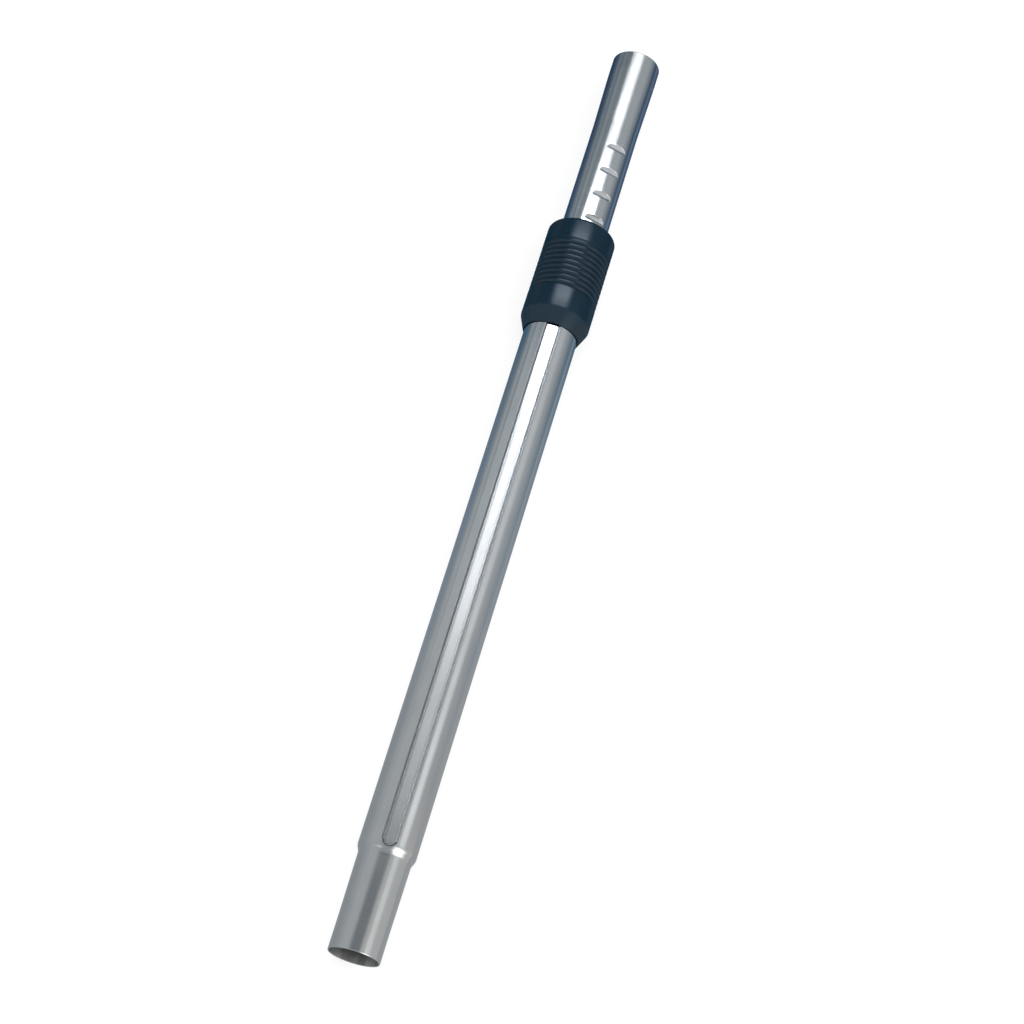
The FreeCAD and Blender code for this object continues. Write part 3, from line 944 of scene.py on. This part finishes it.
def studio_cards():
    """Dark cards on the floor that only gloss sees: they draw the tubes' edges and darken to the handle."""
    finish = Finish("studio_cards")
    far = finish.along(AXIS)
    left = far.shades([
        (-0.4, 0.34, 0.36, 0.37), (0.11, 0.3, 0.33, 0.345), (0.22, 0.275, 0.315, 0.35),
        (0.34, 0.18, 0.24, 0.31), (0.46, 0.1, 0.16, 0.22), (0.5, 0.03, 0.1, 0.17), (0.58, 0.008, 0.06, 0.13),
        (0.62, 0.04, 0.08, 0.15), (0.75, 0.022, 0.055, 0.1), (1.2, 0.01, 0.03, 0.06),
    ])
    right = far.shades([
        (-0.4, 0.4, 0.41, 0.42), (0.12, 0.38, 0.4, 0.41), (0.22, 0.35, 0.38, 0.4), (0.34, 0.26, 0.315, 0.375),
        (0.475, 0.135, 0.22, 0.32), (0.51, 0.05, 0.13, 0.2), (0.53, 0.02, 0.08, 0.15),
        (0.58, 0.005, 0.05, 0.11), (0.62, 0.05, 0.09, 0.17), (0.75, 0.05, 0.09, 0.17), (1.2, 0.02, 0.05, 0.1),
    ])
    far_right = far.shades([
        (0.2, 0.38, 0.4, 0.41), (0.5, 0.29, 0.34, 0.375), (0.65, 0.17, 0.25, 0.34), (0.85, 0.12, 0.17, 0.25),
        (1, 0.09, 0.13, 0.21), (1.4, 0.05, 0.09, 0.15),
    ])
    pale = far.shades([
        (-0.4, 0.42, 0.43, 0.44), (0.1, 0.37, 0.4, 0.41), (0.3, 0.4, 0.43, 0.44), (0.46, 0.37, 0.4, 0.42),
        (0.62, 0.27, 0.31, 0.34), (0.8, 0.19, 0.23, 0.27), (1.2, 0.1, 0.14, 0.18),
    ])
    side = finish.along((0, 1, 0))
    shade = finish.mix(side.rise(-0.01, 0.01), right, left)
    shade = finish.mix(side.rise(0.02, 0.13), shade, pale)
    return finish.glowing(finish.mix(side.rise(-0.04, -0.16), shade, far_right))


def only_in_gloss(made):
    """Keeps a piece of the studio out of everything but reflections."""
    made.visible_camera = False
    made.visible_diffuse = False
    made.visible_transmission = False
    made.visible_volume_scatter = False
    made.visible_shadow = False


def softbox(name, place, energy):
    """Area lamp that lights matt surfaces and stays out of the reflections."""
    light = bpy.data.lights.new(name, "AREA")
    light.shape = "RECTANGLE"
    light.size, light.size_y = SOFTBOX_SIZE
    light.energy = energy
    lamp = bpy.data.objects.new(name, light)
    lamp.location = place
    lamp.rotation_euler = (LIT_PLACE - Vector(place)).to_track_quat("-Z", "Y").to_euler()
    lamp.visible_glossy = False
    bpy.context.scene.collection.objects.link(lamp)


class WAND_OT_stage(bpy.types.Operator):
    """Sets up the floor, the light tent, the lamps and the camera"""

    bl_idname = "wand.stage"
    bl_label = "Stage"

    def execute(self, context):
        studio = context.scene.wand_studio
        self.floor(studio, context.scene.wand_tubes, context.scene.wand_grip)
        self.tent(studio)
        softbox("softbox_left", place=(0.1, 0.9, 1.5), energy=26)
        softbox("softbox_right", place=(0.6, -1.0, 1.4), energy=16)
        context.scene.world = studio_air(studio)
        self.camera(context, studio)
        return {"FINISHED"}

    def floor(self, studio, tubes, grip):
        """The floor touches the wand at its shoulder and at the grip, and the dark cards lie on it."""
        drop = (OUTER_LOW.y - SLEEVE_LOW.y) / (SLEEVE_LOW.x + grip.taper - tubes.shoulder_end)
        lean = Matrix.Rotation(math.atan(drop), 4, "Y") @ Matrix.Scale(2, 4, AXIS)
        floor_half, card_half, card_height = 8, 1.42, 0.3 * MM
        touch = Matrix.Translation((tubes.shoulder_end, 0, OUTER_LOW.y))
        above = Matrix.Translation((tubes.shoulder_end, 0, OUTER_LOW.y + card_height))
        self.sheet("studio_floor", touch @ lean, floor_half, studio_floor(studio))
        only_in_gloss(self.sheet("studio_cards", above @ lean, card_half, studio_cards()))

    def sheet(self, name, place, half, material):
        """A square sheet, before its place stretches it, with half its side given."""
        square = bmesh.new()
        bmesh.ops.create_grid(square, x_segments=1, y_segments=1, size=half)
        bmesh.ops.transform(square, matrix=place, verts=square.verts)
        return staged(square, name, material)

    def tent(self, studio):
        """A drum round the wand, whose side passes through the camera."""
        radius, depth, middle = studio.distance, 6, 0.4
        tent = bmesh.new()
        bmesh.ops.create_cone(tent, cap_ends=True, segments=96, radius1=radius, radius2=radius, depth=depth)
        lying = Matrix.Translation((middle, 0, 0)) @ Matrix.Rotation(math.pi / 2, 4, "Y")
        bmesh.ops.transform(tent, matrix=lying, verts=tent.verts)
        only_in_gloss(staged(tent, "studio_tent", studio_tent(studio)))

    def camera(self, context, studio):
        """Camera at the photograph's angle, beyond the floor end and looking along the wand."""
        towards = Vector((0, math.sin(studio.roll), math.cos(studio.roll)))
        right = Vector((0, -math.cos(studio.roll), math.sin(studio.roll)))
        ahead = AXIS * math.sin(studio.pan) - towards * math.cos(studio.pan)
        upward = towards * math.sin(studio.pan) + AXIS * math.cos(studio.pan)
        sight = ahead * math.cos(studio.offset) + right * math.sin(studio.offset)
        side = right * math.cos(studio.offset) - ahead * math.sin(studio.offset)
        up = upward * math.cos(studio.twist) - side * math.sin(studio.twist)
        across = upward * math.sin(studio.twist) + side * math.cos(studio.twist)
        view = Matrix((across, up, -sight)).transposed().to_4x4()
        view.translation = AXIS * studio.foot + towards * studio.distance
        lens = bpy.data.cameras.new("studio_camera")
        lens.lens = studio.lens
        lens.clip_end = 50
        camera = bpy.data.objects.new("studio_camera", lens)
        camera.matrix_world = view
        context.scene.collection.objects.link(camera)
        context.scene.camera = camera
        context.scene.view_settings.view_transform = "Standard"


class WAND_PT_sidebar(bpy.types.Panel):
    """Lists the wand's pieces"""

    bl_idname = "WAND_PT_sidebar"
    bl_label = "Wand"
    bl_space_type = "VIEW_3D"
    bl_region_type = "UI"
    bl_category = "Wand"

    def draw(self, context):
        for operator in PIECES:
            self.layout.operator(operator.bl_idname)


PIECES = (
    WAND_OT_outer_tube,
    WAND_OT_inner_tube,
    WAND_OT_grip_sleeve,
    WAND_OT_sleeve_cap,
    WAND_OT_return_spring,
    WAND_OT_inner_pieces,
    WAND_OT_stage,
)
SETTINGS = {
    "wand_tubes": WandTubeSizes,
    "wand_grip": WandGripSizes,
    "wand_finishes": WandFinishes,
    "wand_studio": WandStudio,
}


def register():
    """Adds the settings, the operators and the sidebar."""
    for group in SETTINGS.values():
        bpy.utils.register_class(group)
    for name, group in SETTINGS.items():
        setattr(bpy.types.Scene, name, bpy.props.PointerProperty(type=group))
    for operator in PIECES:
        bpy.utils.register_class(operator)
    bpy.utils.register_class(WAND_PT_sidebar)


def unregister():
    """Takes them out again, in reverse."""
    bpy.utils.unregister_class(WAND_PT_sidebar)
    for operator in reversed(PIECES):
        bpy.utils.unregister_class(operator)
    for name, group in SETTINGS.items():
        delattr(bpy.types.Scene, name)
        bpy.utils.unregister_class(group)


def main():
    """Builds the wand and its studio."""
    register()
    bpy.ops.wand.outer_tube()
    bpy.ops.wand.inner_tube()
    bpy.ops.wand.grip_sleeve()
    bpy.ops.wand.sleeve_cap()
    bpy.ops.wand.return_spring()
    bpy.ops.wand.inner_pieces()
    bpy.ops.wand.stage()


if __name__ == "__main__":
    main()
